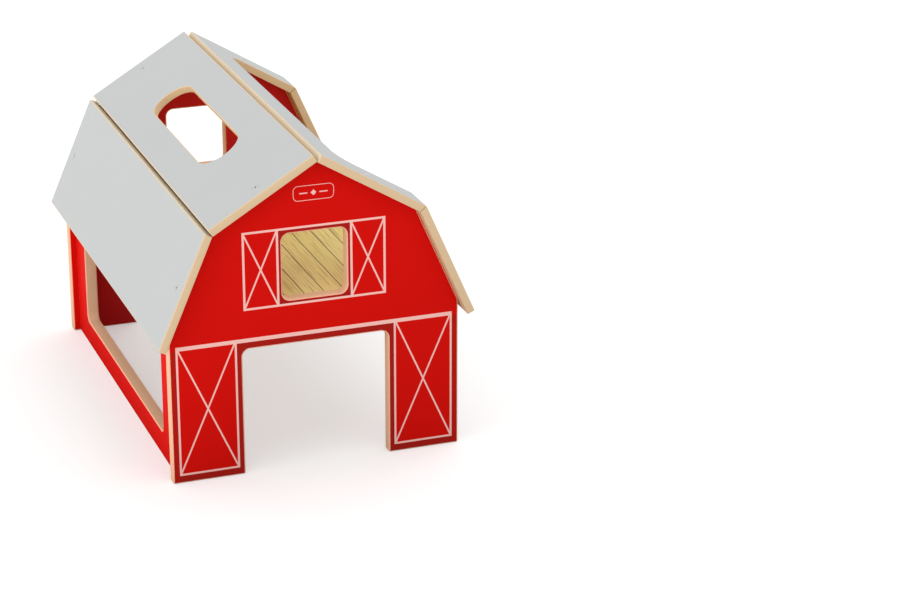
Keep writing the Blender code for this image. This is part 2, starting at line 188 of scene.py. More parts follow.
def board(name, node, slot, origin, u_axis, v_axis, loops, material, mitre=(0.0, 0.0)):
    """A flat board, whose outer face holds origin and stands square to u_axis and v_axis.

    Each loop is a path and a rim. A point of the rim is the path's point, less the inset along the
    path's normal, less the depth along the face's normal. The two faces are filled between the loops.
    A mitre is an end's u at the inner face, and its lean: how far u moves there for each unit of
    height. It takes the lean times a normal's part along u from the normal's part out of the face.
    """
    out = np.cross(u_axis, v_axis)
    axes = np.array((u_axis, v_axis, out), float)
    points, faces, normals = [], [], []
    ends = ([], [])
    count = 0
    for (path, away), (inset, depth) in loops:
        rows, steps = len(inset), len(path)
        flat = path[None] - inset[:, None, None] * away[None]
        lean = mitre[1] * (np.abs(path[:, 0] - mitre[0]) < MITRE_REACH)
        flat[:, :, 0] += (depth[-1] - depth)[:, None] * lean
        drop = np.repeat(-depth, steps).reshape(rows, steps, 1)
        points.append(np.concatenate((flat, drop), axis=2).reshape(-1, 3))
        index = count + np.arange(rows * steps).reshape(rows, steps)
        onward = np.roll(index, -1, axis=1)
        quads = np.stack((index[:-1], index[1:], onward[1:], onward[:-1]), axis=-1)
        faces += quads.reshape(-1, 4).tolist()
        start, finish = rim_normals(inset, depth)
        strips = []
        for share, shift in ((start, 0), (finish, 0), (finish, -1), (start, -1)):
            aside = share[:, None, :1] * np.roll(away, shift, axis=0)
            level = share[:, None, 1:] - aside[:, :, :1] * np.roll(lean, shift)[:, None]
            strips.append(np.concatenate((aside, level), axis=2))
        square = np.stack(strips, axis=2).reshape(-1, 3)
        normals.append(square / np.linalg.norm(square, axis=1, keepdims=True))
        for end, row in zip(ends, (0, -1)):
            end.append((index[row], flat[row]))
        count += rows * steps
    for end, level in zip(ends, (1.0, -1.0)):
        index = np.concatenate([part[0] for part in end])
        flat = np.concatenate([part[1] for part in end])
        filled = tessellate_polygon([part[1].tolist() for part in end])
        triangles = np.array([tuple(corner) for corner in filled])
        a, b, c = (flat[triangles[:, corner]] for corner in range(3))
        area = (b[:, 0] - a[:, 0]) * (c[:, 1] - a[:, 1]) - (b[:, 1] - a[:, 1]) * (c[:, 0] - a[:, 0])
        triangles = np.where((area * level > 0)[:, None], triangles, triangles[:, ::-1])
        faces += index[triangles].tolist()
        normals.append(np.tile((0.0, 0.0, level), (3 * len(triangles), 1)))
    mesh = bpy.data.meshes.new(name)
    mesh.from_pydata((np.concatenate(points) @ axes + origin).tolist(), [], faces)
    mesh.polygons.foreach_set("use_smooth", np.ones(len(faces), bool))
    mesh.normals_split_custom_set((np.concatenate(normals) @ axes).tolist())
    mesh.materials.append(material)
    piece = bpy.data.objects.new(name, mesh)
    bpy.context.scene.collection.objects.link(piece)
    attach(piece, "root")
    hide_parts(node)


def add(tree, kind, inputs=None, **settings):
    """One node of the tree, with its settings and its inputs, which are values or other sockets."""
    made = tree.nodes.new(kind)
    for key, value in settings.items():
        setattr(made, key, value)
    for key, value in (inputs or {}).items():
        if isinstance(value, bpy.types.NodeSocket):
            tree.links.new(value, made.inputs[key])
        else:
            made.inputs[key].default_value = value
    return made


def calc(tree, operation, *values, clamp=False):
    """The result of one Math node on numbers or sockets."""
    made = add(tree, "ShaderNodeMath", dict(enumerate(values)), operation=operation, use_clamp=clamp)
    return made.outputs[0]


def spread(tree, value, given, wanted=(0.0, 1.0)):
    """A value turned evenly from the range given into the range wanted, and held at its ends."""
    inputs = {0: value, 1: given[0], 2: given[1], 3: wanted[0], 4: wanted[1]}
    return add(tree, "ShaderNodeMapRange", inputs).outputs[0]


def edge(tree, depth, softness):
    """1 where depth is above nothing and 0 below it, turning over the softness."""
    return calc(tree, "ADD", calc(tree, "DIVIDE", depth, softness), 0.5, clamp=True)


def noise(tree, place, scale, octaves, roughness=0.5):
    """Soft random values between 0 and 1, with about scale waves a metre."""
    inputs = {"Vector": place, "Scale": scale, "Detail": octaves, "Roughness": roughness}
    return add(tree, "ShaderNodeTexNoise", inputs).outputs["Fac"]


def dots(tree, place, scale, reach, strength=1.0):
    """Round dots, about scale a metre: the strength up to the first reach, and nothing past the second."""
    away = add(tree, "ShaderNodeTexVoronoi", {"Vector": place, "Scale": scale}).outputs["Distance"]
    return spread(tree, away, reach, (strength, 0.0))


def mixed(tree, share, low, high):
    """A number low turning into high as share goes from 0 to 1."""
    return add(tree, "ShaderNodeMix", {0: share, 2: low, 3: high}).outputs[0]


def raised(tree, shader, height, strength=1.0, distance=1.0):
    """A finish's relief, as a bump on the shader's normal."""
    bump = add(tree, "ShaderNodeBump", {"Strength": strength, "Distance": distance, "Height": height})
    tree.links.new(bump.outputs[0], shader.inputs["Normal"])


def blend(tree, share, low, high, mode="MIX"):
    """Colour low turning into colour high as share goes from 0 to 1."""
    inputs = {0: share, 6: low, 7: high}
    for key in (6, 7):
        if not isinstance(inputs[key], bpy.types.NodeSocket):
            inputs[key] = (*inputs[key][:3], 1)
    return add(tree, "ShaderNodeMix", inputs, data_type="RGBA", blend_type=mode).outputs[2]


def effect(name, inputs, outputs):
    """A node group: a number makes a float input, three numbers a vector and four a colour."""
    tree = bpy.data.node_groups.new(name, "ShaderNodeTree")
    kinds = {0: "NodeSocketFloat", 3: "NodeSocketVector", 4: "NodeSocketColor"}
    for label, value in inputs.items():
        size = len(value) if isinstance(value, tuple) else 0
        tree.interface.new_socket(label, in_out="INPUT", socket_type=kinds[size]).default_value = value
    for label, size in outputs.items():
        tree.interface.new_socket(label, in_out="OUTPUT", socket_type=kinds[size])
    return tree, tree.nodes.new("NodeGroupInput").outputs, tree.nodes.new("NodeGroupOutput").inputs


def use(tree, group, inputs):
    """The outputs of one placed copy of a node group."""
    made = add(tree, "ShaderNodeGroup", node_tree=group)
    for key, value in inputs.items():
        if isinstance(value, bpy.types.NodeSocket):
            tree.links.new(value, made.inputs[key])
        else:
            made.inputs[key].default_value = value
    return made.outputs


def make_field_effect():
    """Inside: 1 within an upright rectangle, 0 outside, from the least distance to its four sides."""
    sizes = {"X": 0.0, "Z": 0.0, "X low": 0.0, "X high": 0.0, "Z low": 0.0, "Z high": 0.0}
    tree, given, put = effect("printed field", sizes, {"Inside": 0})
    sides = calc(
        tree,
        "MINIMUM",
        calc(tree, "SUBTRACT", given["X"], given["X low"]),
        calc(tree, "SUBTRACT", given["X high"], given["X"]),
    )
    ends = calc(
        tree,
        "MINIMUM",
        calc(tree, "SUBTRACT", given["Z"], given["Z low"]),
        calc(tree, "SUBTRACT", given["Z high"], given["Z"]),
    )
    tree.links.new(edge(tree, calc(tree, "MINIMUM", sides, ends), INK_EDGE), put["Inside"])
    return tree


def make_brace_effect():
    """Inside: 1 within half a line's width of the straight line through two points, 0 beyond."""
    sizes = {"X": 0.0, "Z": 0.0, "X1": 0.0, "Z1": 0.0, "X2": 1.0, "Z2": 1.0, "Width": BRACE_LINE}
    tree, given, put = effect("printed brace", sizes, {"Inside": 0})
    run = calc(tree, "SUBTRACT", given["X2"], given["X1"])
    rise = calc(tree, "SUBTRACT", given["Z2"], given["Z1"])
    across = calc(tree, "SUBTRACT", given["X"], given["X1"])
    up = calc(tree, "SUBTRACT", given["Z"], given["Z1"])
    area = calc(tree, "SUBTRACT", calc(tree, "MULTIPLY", across, rise), calc(tree, "MULTIPLY", up, run))
    squares = calc(tree, "ADD", calc(tree, "MULTIPLY", run, run), calc(tree, "MULTIPLY", rise, rise))
    away = calc(tree, "DIVIDE", calc(tree, "ABSOLUTE", area), calc(tree, "SQRT", squares))
    depth = calc(tree, "SUBTRACT", calc(tree, "MULTIPLY", given["Width"], 0.5), away)
    tree.links.new(edge(tree, depth, INK_EDGE), put["Inside"])
    return tree


printed_field = make_field_effect()
printed_brace = make_brace_effect()


def field(tree, x, z, x_low, x_high, z_low, z_high):
    """A printed rectangle's mask."""
    sizes = {"X": x, "Z": z, "X low": x_low, "X high": x_high, "Z low": z_low, "Z high": z_high}
    return use(tree, printed_field, sizes)["Inside"]


def leaf(tree, x, z, x_low, x_high, z_low, z_high, line):
    """A framed leaf with two crossed braces: its white lines, and the field inside its frame."""
    outer = field(tree, x, z, x_low, x_high, z_low, z_high)
    inner = field(tree, x, z, x_low + line, x_high - line, z_low + line, z_high - line)
    left, right = x_low + line / 2, x_high - line / 2
    low, high = z_low + line / 2, z_high - line / 2
    rising = {"X": x, "Z": z, "X1": left, "Z1": low, "X2": right, "Z2": high}
    falling = {"X": x, "Z": z, "X1": left, "Z1": high, "X2": right, "Z2": low}
    crossed = calc(
        tree,
        "MAXIMUM",
        use(tree, printed_brace, rising)["Inside"],
        use(tree, printed_brace, falling)["Inside"],
    )
    braces = calc(tree, "MULTIPLY", crossed, outer)
    return calc(tree, "MAXIMUM", calc(tree, "SUBTRACT", outer, inner), braces), outer


def make_gable_print():
    """White: the frames, rail, shutters and plate. Ground: the darker red round the doorway and window.

    Left and right halves are alike, so all is drawn on the distance from the middle line.
    """
    sockets = {"Place": (0.0, 0.0, 0.0), "Plate": 1.0}
    tree, given, put = effect("gable print", sockets, {"White": 0, "Ground": 0})
    wobble = noise(tree, given["Place"], INK_WOBBLE_SCALE, 1.0)
    shift = calc(tree, "MULTIPLY", calc(tree, "SUBTRACT", wobble, 0.5), INK_WOBBLE)
    place = add(tree, "ShaderNodeSeparateXYZ", {0: given["Place"]}).outputs
    x = calc(tree, "ADD", calc(tree, "ABSOLUTE", place["X"]), shift)
    z = calc(tree, "ADD", place["Z"], shift)

    door_lines, door_leaf = leaf(tree, x, z, LEAF_INNER, LEAF_OUTER, LEAF_BOTTOM, RAIL_HIGH, LEAF_LINE)
    rail = field(tree, x, z, -LEAF_OUTER, LEAF_OUTER, RAIL_LOW, RAIL_HIGH)
    shutter_lines, shutter = leaf(
        tree, x, z, SHUTTER_INNER, SHUTTER_OUTER, SHUTTER_LOW, SHUTTER_HIGH, SHUTTER_LINE
    )
    band_edge = SHUTTER_INNER + SHUTTER_LINE
    window_band = field(tree, x, z, -SHUTTER_INNER, band_edge, SHUTTER_LOW, SHUTTER_HIGH)
    window_field = field(
        tree,
        x,
        z,
        -SHUTTER_INNER,
        SHUTTER_INNER,
        SHUTTER_LOW + SHUTTER_LINE,
        SHUTTER_HIGH - SHUTTER_LINE,
    )
    window_lines = calc(tree, "SUBTRACT", window_band, window_field, clamp=True)

    # The plate: a rounded outline from the distance to a smaller rectangle, a diamond and two dashes
    from_middle = calc(tree, "SUBTRACT", z, PLATE_MIDDLE)
    out_x = calc(tree, "MAXIMUM", calc(tree, "SUBTRACT", x, PLATE_HALF_WIDTH - PLATE_CORNER), 0.0)
    out_z = calc(
        tree,
        "MAXIMUM",
        calc(tree, "SUBTRACT", calc(tree, "ABSOLUTE", from_middle), PLATE_HALF_HEIGHT - PLATE_CORNER),
        0.0,
    )
    squares = calc(tree, "ADD", calc(tree, "POWER", out_x, 2.0), calc(tree, "POWER", out_z, 2.0))
    out = calc(tree, "SQRT", squares)
    from_line = calc(tree, "ABSOLUTE", calc(tree, "SUBTRACT", out, PLATE_CORNER - PLATE_LINE / 2))
    ring = edge(tree, calc(tree, "SUBTRACT", PLATE_LINE / 2, from_line), INK_EDGE)
    diamond_size = calc(tree, "ADD", x, calc(tree, "ABSOLUTE", from_middle))
    diamond = edge(tree, calc(tree, "SUBTRACT", DIAMOND, diamond_size), INK_EDGE)
    dash = field(
        tree,
        x,
        z,
        DASH_START,
        DASH_END,
        PLATE_MIDDLE - DASH_HEIGHT / 2,
        PLATE_MIDDLE + DASH_HEIGHT / 2,
    )
    plate = calc(tree, "MAXIMUM", calc(tree, "MAXIMUM", ring, diamond), dash)

    white = calc(tree, "MULTIPLY", plate, given["Plate"])
    for lines in (door_lines, rail, shutter_lines, window_lines):
        white = calc(tree, "MAXIMUM", white, lines)
    tree.links.new(white, put["White"])
    below = field(tree, x, z, -1.0, 1.0, -1.0, RAIL_LOW)
    margin = calc(tree, "GREATER_THAN", x, LEAF_OUTER)
    strength = calc(tree, "SUBTRACT", 1.0, calc(tree, "MULTIPLY", margin, 1 - MARGIN_SHARE))
    off_leaf = calc(tree, "SUBTRACT", 1.0, door_leaf)
    beside = calc(tree, "MULTIPLY", calc(tree, "MULTIPLY", below, strength), off_leaf)
    tree.links.new(calc(tree, "MAXIMUM", beside, window_field), put["Ground"])
    return tree


def make_fibreboard_effect():
    """Bare fibreboard: fine pressed fibres, slow clouds of tone, and brown specks where those are pale."""
    tree, given, put = effect(
        "fibreboard", {"Place": (0.0, 0.0, 0.0)}, {"Colour": 4, "Roughness": 0, "Height": 0}
    )
    place = given["Place"]
    fibres = noise(tree, place, FIBRE_SCALE, 4.0, FIBRE_DETAIL)
    clouds = noise(tree, place, CLOUD_SCALE, 3.0)
    speck = dots(tree, place, SPECK_SCALE, SPECK_REACH)
    rare = calc(tree, "MULTIPLY", speck, spread(tree, clouds, SPECK_CLOUDS))
    body = blend(tree, fibres, FIBRE_DARK, FIBRE_PALE)
    toned = blend(tree, 1.0, body, blend(tree, clouds, CLOUD_DARK, CLOUD_PALE), "MULTIPLY")
    marked = blend(tree, calc(tree, "MULTIPLY", rare, SPECK_SHARE), toned, SPECK_BROWN)
    tree.links.new(marked, put["Colour"])
    tree.links.new(spread(tree, fibres, (0.0, 1.0), FIBRE_ROUGHNESS), put["Roughness"])
    tree.links.new(calc(tree, "SUBTRACT", fibres, calc(tree, "MULTIPLY", rare, SPECK_DEPTH)), put["Height"])
    return tree


def make_paint_effect():
    """A sprayed and rolled coat: fine orange peel, slow changes of tone, and a few dust nibs."""
    tree, given, put = effect(
        "paint coat", {"Place": (0.0, 0.0, 0.0)}, {"Tone": 0, "Roughness": 0, "Height": 0}
    )
    place = given["Place"]
    peel = noise(tree, place, PAINT_PEEL_SCALE, 2.0)
    slow = noise(tree, place, PAINT_TONE_SCALE, 3.0)
    nib = dots(tree, place, PAINT_NIB_SCALE, PAINT_NIB_REACH, PAINT_NIB_HEIGHT)
    tree.links.new(spread(tree, slow, NOISE_MIDDLE, PAINT_TONE), put["Tone"])
    tree.links.new(spread(tree, slow, NOISE_MIDDLE, PAINT_ROUGHNESS), put["Roughness"])
    tree.links.new(calc(tree, "ADD", peel, nib), put["Height"])
    return tree


def make_wear_effect():
    """Bare: 1 where the board shows past the paint, from the depth below the painted face in metres.

    The paint stops just over the rim, along a slightly uneven line.
    """
    tree, given, put = effect("paint rim", {"Place": (0.0, 0.0, 0.0), "Depth": 0.0}, {"Bare": 0})
    uneven = noise(tree, given["Place"], PAINT_LINE_SCALE, 3.0)
    reach = spread(tree, uneven, NOISE_MIDDLE, PAINT_WRAP)
    past = calc(tree, "SUBTRACT", given["Depth"], reach)
    tree.links.new(edge(tree, past, PAINT_LINE_EDGE), put["Bare"])
    return tree


gable_print = make_gable_print()
fibreboard = make_fibreboard_effect()
paint_coat = make_paint_effect()
paint_rim = make_wear_effect()


def new_material(name, slot_colour):
    """A material, its nodes, and its shader."""
    material = bpy.data.materials.new(name)
    material.use_nodes = True
    material.diffuse_color = (*slot_colour, 1)
    return material, material.node_tree, material.node_tree.nodes["Principled BSDF"]


def coated(tree, shader, place, depth, paint_colour, specular, stain_and_shade_share, stain_and_shade):
    """Paint over fibreboard on a shader: the paint lies where the depth below the face is nearly nothing.

    Where it isn't painted, the fibreboard is tinted by a share of a colour: a red mist on the red boards,
    and painted shade and painted light at the roof joints.
    """
    wood = use(tree, fibreboard, {"Place": place})
    stained_and_shaded = blend(tree, stain_and_shade_share, wood["Colour"], stain_and_shade)
    coat = use(tree, paint_coat, {"Place": place})
    bare = use(tree, paint_rim, {"Place": place, "Depth": depth})["Bare"]
    tone = add(tree, "ShaderNodeCombineXYZ", {axis: coat["Tone"] for axis in range(3)}).outputs[0]
    toned = blend(tree, 1.0, paint_colour, tone, "MULTIPLY")
    tree.links.new(blend(tree, bare, toned, stained_and_shaded), shader.inputs["Base Color"])
    tree.links.new(mixed(tree, bare, coat["Roughness"], wood["Roughness"]), shader.inputs["Roughness"])
    coat_height = calc(tree, "MULTIPLY", coat["Height"], PAINT_RELIEF)
    wood_height = calc(tree, "MULTIPLY", wood["Height"], FIBRE_RELIEF)
    step = calc(tree, "MULTIPLY", bare, -PAINT_THICKNESS)
    raised(tree, shader, calc(tree, "ADD", mixed(tree, bare, coat_height, wood_height), step))
    shader.inputs["Specular IOR Level"].default_value = specular


def along_axis(tree, place, origin, axis):
    """How far a place lies from origin along an axis."""
    reach = add(tree, "ShaderNodeVectorMath", {0: place, 1: tuple(axis)}, operation="DOT_PRODUCT")
    return calc(tree, "SUBTRACT", reach.outputs["Value"], float(np.dot(origin, axis)))


def board_depth(tree, origin, u_axis, v_axis):
    """Object coordinates, and the depth below the board's outer face."""
    place = add(tree, "ShaderNodeTexCoord").outputs["Object"]
    return place, along_axis(tree, place, origin, -np.cross(u_axis, v_axis))


def red_coated(tree, shader, place, drop, printed):
    """Sprayed on both faces of a half-inch board, with painted shade inside the room as a darker, duller
    red, and a red mist on the bare rims.
    """
    x = add(tree, "ShaderNodeSeparateXYZ", {0: place}).outputs["X"]
    # Painted shade: the inner faces within the room take the darker, duller red in place of the shade
    # there.
    in_room = calc(tree, "LESS_THAN", calc(tree, "ABSOLUTE", x), INNER_HALF_WIDTH)
    inside = calc(tree, "MULTIPLY", calc(tree, "GREATER_THAN", drop, BOARD / 2), in_room)
    sprayed = blend(tree, inside, printed, RED_INNER_SHADE)
    depth = calc(tree, "MINIMUM", drop, calc(tree, "SUBTRACT", BOARD, drop))
    mist = spread(tree, depth, (0.0, 2 * BOARD_RIM), (MIST_AT_FACE, MIST_ON_EDGE))
    coated(tree, shader, place, depth, sprayed, RED_GLOSS, mist, RED_MIST)


def gable_material(name, plane, plate):
    """Red on both faces, and the print on the outer one."""
    material, tree, shader = new_material(name, RED_PAINT)
    place, drop = board_depth(tree, *plane)
    outside = calc(tree, "LESS_THAN", drop, BOARD / 2)
    ink = use(tree, gable_print, {"Place": place, "Plate": plate})
    ground = calc(tree, "MULTIPLY", ink["Ground"], outside)
    white = calc(tree, "MULTIPLY", ink["White"], outside)
    printed = blend(tree, white, blend(tree, ground, RED_PAINT, RED_GROUND), WHITE_INK)
    red_coated(tree, shader, place, drop, printed)
    return material


gable_outline = rounded_path(
    [
        (-HALF_WIDTH, 0, SHARP_CORNER),
        (-HALF_DOOR, 0, SHARP_CORNER),
        (-HALF_DOOR, DOOR_HEIGHT, OPENING_CORNER),
        (HALF_DOOR, DOOR_HEIGHT, OPENING_CORNER),
        (HALF_DOOR, 0, SHARP_CORNER),
        (HALF_WIDTH, 0, SHARP_CORNER),
        (HALF_WIDTH, EAVE_HEIGHT, SHARP_CORNER),
        (KNEE_HALF_WIDTH, KNEE_HEIGHT, SHARP_CORNER),
        (0, APEX_HEIGHT, SHARP_CORNER),
        (-KNEE_HALF_WIDTH, KNEE_HEIGHT, SHARP_CORNER),
        (-HALF_WIDTH, EAVE_HEIGHT, SHARP_CORNER),
    ]
)
window = rounded_path(box_corners(-HALF_WINDOW, HALF_WINDOW, WINDOW_SILL, WINDOW_TOP, OPENING_CORNER, True))
board_rim = round_rim(BOARD, BOARD_RIM, BOARD_RIM)
for end_name, side, plate in (("front", 1, 1.0), ("rear", -1, 0.0)):
    plane = ((0, -side * BARN_HALF_DEPTH, 0), (side, 0, 0), (0, 0, 1))
    board(
        end_name + "_gable_board",
        end_name + "_gable",
        "red_board",
        *plane,
        [(gable_outline, board_rim), (window, board_rim)],
        gable_material(end_name + "_gable_print", plane, plate),
    )


# The left wall
# One half-inch board of fibreboard between the gables, set in a little from their edges, with one
# large opening and rounded rims. Both faces are red like the gables and carry no print.
WALL_FACE = 0.143488
WALL_HALF_LENGTH = 0.2140
WALL_TOP = 0.1670
WALL_OPENING_FRONT = -0.1620
WALL_OPENING_REAR = 0.1725
WALL_OPENING_LOW = 0.0280
WALL_OPENING_HIGH = 0.1390


def wall_material(plane):
    """Red on both faces."""
    material, tree, shader = new_material("left_wall_paint", RED_PAINT)
    place, drop = board_depth(tree, *plane)
    red_coated(tree, shader, place, drop, RED_PAINT)
    return material


wall_plane = ((-WALL_FACE, 0, 0), (0, -1, 0), (0, 0, 1))
wall_outline = rounded_path(box_corners(-WALL_HALF_LENGTH, WALL_HALF_LENGTH, 0, WALL_TOP, SHARP_CORNER))
wall_opening = rounded_path(
    box_corners(
        -WALL_OPENING_REAR,
        -WALL_OPENING_FRONT,
        WALL_OPENING_LOW,
        WALL_OPENING_HIGH,
        OPENING_CORNER,
        True,
    )
)
board(
    "left_wall_board",
    "left_wall",
    "red_board",
    *wall_plane,
    [(wall_outline, board_rim), (wall_opening, board_rim)],
    wall_material(wall_plane),
)


# The loft floor
# One half-inch board between the gables, resting on the left wall. Its top is printed with narrow
# yellow-brown planks that run from front to back, with thin dark seams and fine olive grain lines.
LOFT_TOP = 0.180
LOFT_HALF_WIDTH = 0.1406
LOFT_HALF_LENGTH = 0.2140
PLANK_WIDTH = 0.0205
PLANK_GAP = 0.0010
PLANK_TONES = ((0.84, 0.66, 0.21), (0.92, 0.74, 0.29), (0.88, 0.71, 0.27), (0.80, 0.63, 0.19))
PLANK_GRAIN = (0.45, 0.29, 0.055)
PLANK_SEAM = (0.10, 0.045, 0.003)
PLANK_START = 0.0071
PLANK_GRAIN_STRETCH = 0.018
PLANK_GRAIN_SCALE = 800.0
PLANK_GRAIN_RANGE = (0.55, 0.62)
PLANK_GRAIN_SHARE = 0.6
LOFT_GLOSS = 0.1


def make_plank_effect():
    """Printed planks along Y: a seam at each whole number of widths, and each plank's own tone."""
    tree, given, put = effect("plank print", {"Place": (0.0, 0.0, 0.0)}, {"Colour": 4})
    place = add(tree, "ShaderNodeSeparateXYZ", {0: given["Place"]}).outputs
    across = calc(tree, "DIVIDE", calc(tree, "ADD", place["X"], PLANK_START), PLANK_WIDTH)
    row = calc(tree, "FLOOR", across)
    chance = add(tree, "ShaderNodeTexWhiteNoise", {"W": row}, noise_dimensions="1D").outputs["Value"]
    tones = add(tree, "ShaderNodeValToRGB", {0: chance})
    stops = tones.color_ramp.elements
    for share in np.linspace(0, 1, len(PLANK_TONES))[1:-1]:
        stops.new(share)
    for stop, tone in zip(stops, PLANK_TONES):
        stop.color = (*tone, 1)

    # Grain: noise drawn out along the plank, moved by a random length for each plank
    shift = add(tree, "ShaderNodeCombineXYZ", {1: chance, 2: chance}).outputs[0]
    moved = add(tree, "ShaderNodeVectorMath", {0: given["Place"], 1: shift}, operation="ADD").outputs[0]
    stretch = {"Vector": moved, "Scale": (1.0, PLANK_GRAIN_STRETCH, 1.0)}
    drawn = add(tree, "ShaderNodeMapping", stretch).outputs[0]
    grain = noise(tree, drawn, PLANK_GRAIN_SCALE, 2.0)
    lines = spread(tree, grain, PLANK_GRAIN_RANGE, (0.0, PLANK_GRAIN_SHARE))
    grained = blend(tree, lines, tones.outputs[0], PLANK_GRAIN)
    part = calc(tree, "FRACT", across)
    nearer = calc(tree, "MINIMUM", part, calc(tree, "SUBTRACT", 1.0, part))
    from_seam = calc(tree, "MULTIPLY", nearer, PLANK_WIDTH)
    seam = edge(tree, calc(tree, "SUBTRACT", PLANK_GAP / 2, from_seam), INK_EDGE)
    tree.links.new(blend(tree, seam, grained, PLANK_SEAM), put["Colour"])
    return tree


def loft_material(plane):
    """The plank print on the top face, and bare fibreboard on the rims and underneath."""
    material, tree, shader = new_material("loft_print", PLANK_TONES[0])
    place, drop = board_depth(tree, *plane)
    planks = use(tree, make_plank_effect(), {"Place": place})["Colour"]
    coated(tree, shader, place, drop, planks, LOFT_GLOSS, 0.0, RED_MIST)
    return material


loft_plane = ((0, 0, LOFT_TOP), (1, 0, 0), (0, 1, 0))
loft_outline = rounded_path(
    box_corners(-LOFT_HALF_WIDTH, LOFT_HALF_WIDTH, -LOFT_HALF_LENGTH, LOFT_HALF_LENGTH, SHARP_CORNER)
)
board(
    "loft_floor_board",
    "loft_floor",
    "plank_board",
    *loft_plane,
    [(loft_outline, board_rim)],
    loft_material(loft_plane),
)


# The roof boards
# Four thinner boards of fibreboard, screwed to the gables' sloping edges, with only the outer face
# painted, a pale warm grey. The upper left one has a skylight slot. The two on the right are open
# frames that are mitred at the knee, where their openings meet. All other ends are sawn square.
ROOF_BOARD = 0.008
ROOF_RIM = 0.0010
ROOF_INNER_RIM = 0.0002
ROOF_CORNER = 0.0012
SEAT_GAP = 0.0003
ROOF_HALF_LENGTH = 0.240
UPPER_SLOPE = math.hypot(KNEE_HALF_WIDTH, APEX_HEIGHT - KNEE_HEIGHT)
LOWER_SLOPE = math.hypot(HALF_WIDTH - KNEE_HALF_WIDTH, KNEE_HEIGHT - EAVE_HEIGHT)
UPPER_PITCH = math.atan2(APEX_HEIGHT - KNEE_HEIGHT, KNEE_HALF_WIDTH)
LOWER_PITCH = math.atan2(KNEE_HEIGHT - EAVE_HEIGHT, HALF_WIDTH - KNEE_HALF_WIDTH)
KNEE_SET_BACK = 0.0001
EAVE_OVERHANG = 0.0145
RIDGE_SET_BACK = 0.0005
HALF_SKYLIGHT = 0.024
SKYLIGHT_HALF_LENGTH = 0.111
SKYLIGHT_CORNER = 0.0239
FRAME_STRIP = 0.037
FRAME_HALF_HOLE = 0.196
FRAME_CORNER = 0.020
SCREW_PLACE_Y = 0.22065
SCREW_HOLE = 0.0030
SCREW_HOLE_NARROW = 0.0018
SCREW_HOLE_SEAT = 0.0007
GREY_PAINT = (0.490, 0.503, 0.497)
GREY_GLOSS = 0.2
# Painted shade in the crevice of each roof joint, and a pale painted light on the rest of that end.
JOINT_PAINTED_SHADE = (0.05, 0.04, 0.02)
JOINT_PAINTED_LIGHT = (0.75, 0.80, 0.72)
JOINT_REACH = 0.0003


def slope_plane(side, x, z, pitch):
    """A roof board's outer plane: a point on it above (x, z), the way down its slope, and across it."""
    down = np.array((side * math.cos(pitch), 0, -math.sin(pitch)))
    out = np.array((side * math.sin(pitch), 0, math.cos(pitch)))
    origin = np.array((side * x, 0, z)) + out * (SEAT_GAP + ROOF_BOARD)
    return tuple(origin), tuple(down), tuple(np.cross(out, down))


def screw_hole(u, v):
    """A countersunk hole at (u, v): a circle walked clockwise, its rim narrowing below the seat."""
    angle = -np.linspace(0, 2 * math.pi, 4 * CORNER_STEPS, endpoint=False)
    inward = -np.stack((np.cos(angle), np.sin(angle)), axis=1)
    cone = SCREW_HOLE - SCREW_HOLE_NARROW
    inset = np.array((0, 0, -cone, -cone))
    depth = np.array((0, SCREW_HOLE_SEAT, SCREW_HOLE_SEAT + cone, ROOF_BOARD))
    return (np.array((u, v)) - SCREW_HOLE * inward, inward), (inset, depth)


def roof_material(name, plane, joint):
    """Grey on the outer face, and bare fibreboard on the rims and underneath.

    A joint is an end's u, the depths where the painted shade in its crevice begins and is darkest, its
    share there, and the share of a pale painted light on the rest of that end.
    """
    material, tree, shader = new_material(name, GREY_PAINT)
    place, drop = board_depth(tree, *plane)
    end, shallow, deep, share, painted_light_share = joint
    from_end = calc(tree, "ABSOLUTE", calc(tree, "SUBTRACT", along_axis(tree, place, *plane[:2]), end))
    in_joint = calc(tree, "LESS_THAN", from_end, JOINT_REACH)
    # Painted light and shade in the joint: pale painted light nearer the outer face, turning to dark
    # painted shade deeper in the crevice.
    dust = spread(tree, drop, (shallow, deep))
    stain_and_shade = blend(tree, dust, JOINT_PAINTED_LIGHT, JOINT_PAINTED_SHADE)
    strength = calc(tree, "MULTIPLY", mixed(tree, dust, painted_light_share, share), in_joint)
    coated(tree, shader, place, drop, GREY_PAINT, GREY_GLOSS, strength, stain_and_shade)
    return material


half = ROOF_HALF_LENGTH
upper_end = UPPER_SLOPE - KNEE_SET_BACK
lower_end = LOWER_SLOPE + EAVE_OVERHANG
strip_end = lower_end - FRAME_STRIP

# The left board runs past the ridge, until its lower edge meets the right one's end
ridge_angle = 2 * UPPER_PITCH
past_ridge = (RIDGE_SET_BACK - SEAT_GAP * (1 - math.sin(ridge_angle))) / math.cos(ridge_angle)

# The mitre halves the angle at the knee, and each board stands half a gap off it
lean = math.tan((LOWER_PITCH - UPPER_PITCH) / 2)
mitre_set_back = SEAT_GAP / 2 * math.hypot(1, lean) - SEAT_GAP * lean
upper_mitre = UPPER_SLOPE - mitre_set_back
lower_mitre = mitre_set_back
upper_cut = (upper_mitre, lean)
lower_cut = (lower_mitre, -lean)
square_cut = (0.0, 0.0)
upper_frame = [
    (RIDGE_SET_BACK, -half, ROOF_CORNER),
    (upper_mitre, -half, ROOF_CORNER),
    (upper_mitre, -FRAME_HALF_HOLE, ROOF_CORNER),
    (FRAME_STRIP, -FRAME_HALF_HOLE, FRAME_CORNER),
    (FRAME_STRIP, FRAME_HALF_HOLE, FRAME_CORNER),
    (upper_mitre, FRAME_HALF_HOLE, ROOF_CORNER),
    (upper_mitre, half, ROOF_CORNER),
    (RIDGE_SET_BACK, half, ROOF_CORNER),
]
